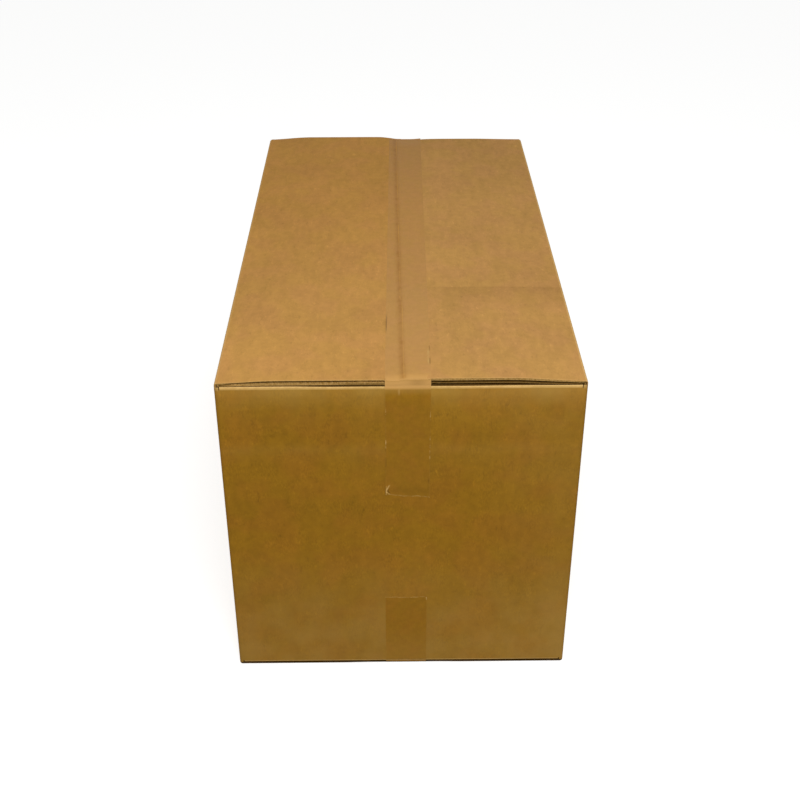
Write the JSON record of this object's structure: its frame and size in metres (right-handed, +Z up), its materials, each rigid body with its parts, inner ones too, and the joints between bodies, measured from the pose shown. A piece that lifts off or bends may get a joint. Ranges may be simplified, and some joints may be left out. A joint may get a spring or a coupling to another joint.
{
  "type": "closed cardboard box",
  "caption": "Closed shipping carton folded from corrugated cardboard, with its flaps shut and taped along the top and bottom seams and down both end walls.",
  "frame": {"origin": "middle of the box on the surface that it stands on", "axes": "+Z up, +Y along the long side and the seam of the flaps, from the front end wall to the back one, +X to the right seen from the front"},
  "size_m": [0.389, 0.7192, 0.4029],
  "materials": {
    "kraft_board": "matt kraft board",
    "packing_tape": "thin film with a soft gloss"
  },
  "bodies": {
    "root": {"carton": "kraft_board", "top_tape": "packing_tape", "bottom_tape": "packing_tape"}
  },
  "joints": []
}
